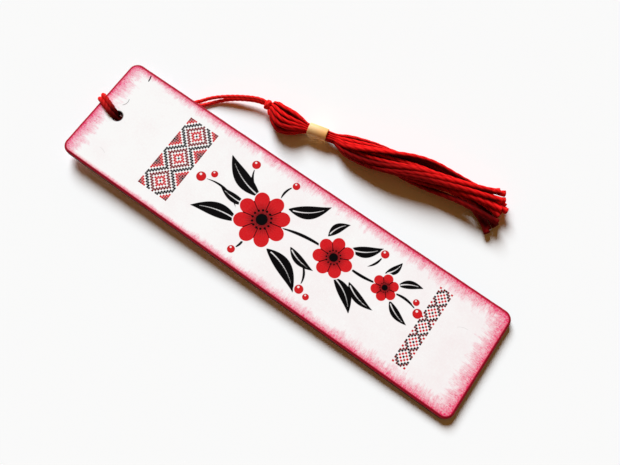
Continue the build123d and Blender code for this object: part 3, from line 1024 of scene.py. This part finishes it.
def scuffMask(x, y, scuff):
    # a thin stroke from end to end, bowed sideways by 4 b s (1 - s), s from 0 to 1 along it
    begin, end, bow, half, strength = scuff
    run = np.array(end) - np.array(begin)
    long = float(np.hypot(*run))
    wayX, wayY = (run / long).tolist()
    fromX, fromY = x - begin[0], y - begin[1]
    along = fromX * (wayX / long) + fromY * (wayY / long)
    off = abs(fromY * wayX - fromX * wayY - along * (1.0 - along) * (4 * bow))
    beyond = sums("MAXIMUM", abs(along - 0.5) - 0.5, 0.0) * long
    return spread(off + beyond, half + scuffSoft[0], half + scuffSoft[1], 0.0, strength)


def brushedPink(inMm, fromEdge, across, reachNow):
    # a dry brush drawn in from an edge: 1 - distance / reach, where blots, coarse and fine strokes
    # square to the edge change the reach, and the finest of them leave gaps and darker hairs
    grains = []
    for (sx, sy, sz), detail, rough in (brushLook.coarse, brushLook.hairs):
        grains.append(grain(inMm, (sx, sy, sz) if across else (sy, sx, sz), detail, rough))
    coarse, hairs = grains
    blots = grain(inMm, *brushLook.blots)
    stroke = coarse + hairs * brushLook.hairShare + (blots - 0.5) * brushLook.blotShare
    reach = spread(stroke, *brushLook.reachSpread) * reachNow
    share = (1.0 - fromEdge / reach).clamped()
    return (share * spread(hairs, *brushLook.hairSpread)).clamped()


def sheetFinish():
    look = sheetLook
    finish, tree, shader = newFinish("printed_paper", look.roughness)
    inMm = placeInMm(tree)
    x, y, _ = threeParts(inMm)
    # cream paper with a pink cast that grows towards the far end
    mottle, flecks = grain(inMm, *look.mottle), grain(inMm, *look.flecks)
    cast = x * look.castSlope + look.castMiddle + (mottle - 0.5) * look.mottleShare
    cast = (cast + (flecks - 0.5) * look.fleckShare).clamped()
    paper = mixTone(cast, look.cream, look.blush)
    # the art
    for band in bands:
        paper = stitches(x, y, paper, band)
    inkRed, inkBlack, inkPale = (
        spread(readMark(tree, name), *look.inkEdge) for name in ("inkRed", "inkBlack", "inkPale")
    )
    red, _ = toneRamp(readMark(tree, "redTone"), list(zip(look.redStops, pick(look, "deepRed red"))))
    inkGrain = spread(grain(inMm, *look.inkGrain), *look.inkSpread)
    colour = mixTone(inkRed * inkGrain, paper, red)
    colour = mixTone(inkBlack, colour, look.black)
    colour = mixTone(inkPale * look.paleShare, colour, paper)
    # pink brushed in from the edges, more of it towards the far end, then the dark line on the rim
    halfX, halfY = card.length / 2, card.width / 2
    toFar = spread(x, -halfX, halfX)
    upper, lower = (toFar * (far - near) + near for near, far in (look.upperReach, look.lowerReach))
    edges = [(halfY - y, True, upper), (y + halfY, True, lower)]
    edges += [(halfX - x, False, look.farReach), (x + halfX, False, look.holeReach)]
    bare = 1.0
    for edge in edges:
        bare = (1.0 - brushedPink(inMm, *edge)) * bare
    specks = grain(inMm, *look.specks)
    pinkness = ((1.0 - bare) * spread(specks, *look.speckSpread)).clamped()
    pinkTone = mixTone(toFar, look.holePink, look.farPink)
    dashes = spread(grain(inMm, *look.dashes), *look.dashSpread) * spread(pinkness, *look.dashFrom)
    pinkTone = mixTone(dashes, pinkTone, look.dashPink)
    colour = mixTone(pinkness, colour, pinkTone)
    fromRim = readMark(tree, "fromRim")
    deep = spread(fromRim, *look.deepSpread) * spread(specks, *look.deepSpecks)
    colour = mixTone(deep, colour, look.deepPink)
    onRim = spread(fromRim + (specks - 0.5) * look.rimRagged, *look.rimSpread)
    colour = mixTone(onRim, colour, look.rim)
    # marks of use, and painted shade on the edge of the hole
    for scuff in scuffs:
        colour = mixTone(scuffMask(x, y, scuff), colour, look.black)
    colour = mixTone(spread(readMark(tree, "fromHole"), *look.holeSpread), colour, look.holeDark)
    # brushed satin varnish
    varnish = grain(inMm, *look.varnish)
    rough = spread(varnish, *look.roughSpread)
    feed(shader, {"Base Color": colour, "Roughness": rough, "Specular IOR Level": look.shine})
    raiseGrain(shader, varnish, *look.bump)
    return finish


def buildSheet():
    # a grid over the sheet: corner squares become quarter discs, and squares round the hole circles
    look = sheetLook
    hx, hy, corner, zone, drop, art = pick(look, "halfX halfY corner holeZone dropWidth artHalf")
    hole, ring = pick(card, "holeX holeRadius")
    toEdge, atHole, inZone = pick(look, "edgeStep holeStep zoneStep")
    plain, sides, fine = pick(look, "plainStep sideStep artStep")
    stopsX = [-hx, -hx + drop, hole - zone, hole - ring, hole + ring, hole + zone]
    stopsX += [look.artFrom, look.artTo, hx - drop, hx]
    linesX = gridLines(stopsX, [toEdge, atHole, atHole, inZone, atHole, plain, fine, plain, toEdge])
    stopsY = [-hy, -hy + drop, -art, -zone, -ring, ring, zone, art, hy - drop, hy]
    linesY = gridLines(stopsY, [toEdge, sides, fine, inZone, inZone, inZone, fine, sides, toEdge])
    x, y = np.meshgrid(linesX, linesY, indexing="ij")
    nx, ny = x.shape
    # square to disc at the corners: p sqrt(1 - q^2 / 2), q sqrt(1 - p^2 / 2)
    p = np.clip((np.abs(x) - hx + corner) / corner, 0, 1)
    q = np.clip((np.abs(y) - hy + corner) / corner, 0, 1)
    both = (p > 0) & (q > 0)
    planX = np.where(both, np.sign(x) * (hx - corner + corner * p * np.sqrt(1 - q * q / 2)), x)
    planY = np.where(both, np.sign(y) * (hy - corner + corner * q * np.sqrt(1 - p * p / 2)), y)
    # squares to circles round the hole, less and less out to the zone's edge
    dx, dy = x - hole, y
    square = np.maximum(np.abs(dx), np.abs(dy))
    roundOff = np.maximum(np.hypot(dx, dy), 1e-9)
    share = np.clip((zone - square) / (zone - ring), 0, 1)
    pull = 1 + share * (square / roundOff - 1)
    planX = np.where(square < zone, hole + dx * pull, planX)
    planY = np.where(square < zone, dy * pull, planY)
    # distance in from the sheet's own edge and from the hole, for the softened edge and the painted shade
    # at the hole
    insetX, insetY = hx - np.abs(planX), hy - np.abs(planY)
    cornerOff = np.hypot(np.maximum(corner - insetX, 0), np.maximum(corner - insetY, 0))
    inEdge = np.where(both, corner - cornerOff, np.minimum(insetX, insetY))
    inHole = np.hypot(planX - hole, planY) - ring
    near = np.clip(1 - np.minimum(inEdge, inHole * look.holeDrop) / drop, 0, 1)
    height = look.top - look.drop * (1 - np.sqrt(1 - near**2))
    planX, planY = planX.ravel(), planY.ravel()
    places, low = (cardPlace(planX, planY, level) for level in (height.ravel(), look.under))
    marks = {**artMarks(planX, planY), "fromRim": inEdge.ravel(), "fromHole": inHole.ravel()}
    # the hole's cells go, and the ring of corners left there is read off in order
    ia, ib = (int(np.argmin(np.abs(linesX - v))) for v in (hole - ring, hole + ring))
    ja, jb = (int(np.argmin(np.abs(linesY - v))) for v in (-ring, ring))
    quads = gridFaces(nx, ny)
    qi, qj = quads[:, 0] // ny, quads[:, 0] % ny
    quads = quads[~((qi >= ia) & (qi < ib) & (qj >= ja) & (qj < jb))]

    def ringOf(i0, i1, j0, j1):
        # the corners round a block of cells, in order
        i, j = np.arange(i0, i1), np.arange(j0, j1)
        return np.r_[i * ny + j0, i1 * ny + j, (i[::-1] + 1) * ny + j1, i0 * ny + j[::-1] + 1]

    outer, inner = ringOf(0, nx - 1, 0, ny - 1), ringOf(ia, ib, ja, jb)[::-1]
    # an underside ring below each, walls between, and two large faces that close the sheet below
    base = nx * ny
    lowOuter, lowInner = base + np.arange(len(outer)), base + len(outer) + np.arange(len(inner))
    walls = [
        np.c_[ringTop, ringLow, np.roll(ringLow, -1), np.roll(ringTop, -1)]
        for ringTop, ringLow in ((outer, lowOuter), (inner, lowInner))
    ]

    def nearest(ringNow, wantedX):
        # where a ring comes nearest to a place on the card's middle line
        return int(np.argmin(np.hypot(planX[ringNow] - wantedX, planY[ringNow])))

    def stretch(ringNow, begin, end):
        # a ring from one of its places on to another
        return np.roll(ringNow, -begin)[: (end - begin) % len(ringNow) + 1]

    right, left = nearest(outer, hx), nearest(outer, -hx)
    holeLeft, holeRight = nearest(inner, hole - ring), nearest(inner, hole + ring)
    upperFace = np.r_[stretch(lowOuter, right, left), stretch(lowInner, holeLeft, holeRight)]
    lowerFace = np.r_[stretch(lowOuter, left, right), stretch(lowInner, holeRight, holeLeft)]
    faces = np.concatenate([quads, *walls]).tolist()
    faces += [upperFace[::-1].tolist(), lowerFace[::-1].tolist()]
    # only the places that a face uses stay, numbered afresh
    places = np.r_[places, low[outer], low[inner]]
    used = np.zeros(len(places), bool)
    used[np.concatenate(faces)] = True
    renumber = np.cumsum(used) - 1
    faces = [renumber[face].tolist() for face in faces]
    marks = {name: np.r_[values, values[outer], values[inner]][used] for name, values in marks.items()}
    addPiece("print", places[used], faces, sheetFinish(), "card", "front_print", marks)
    print("sheet printed,", len(faces), "faces")


buildSheet()
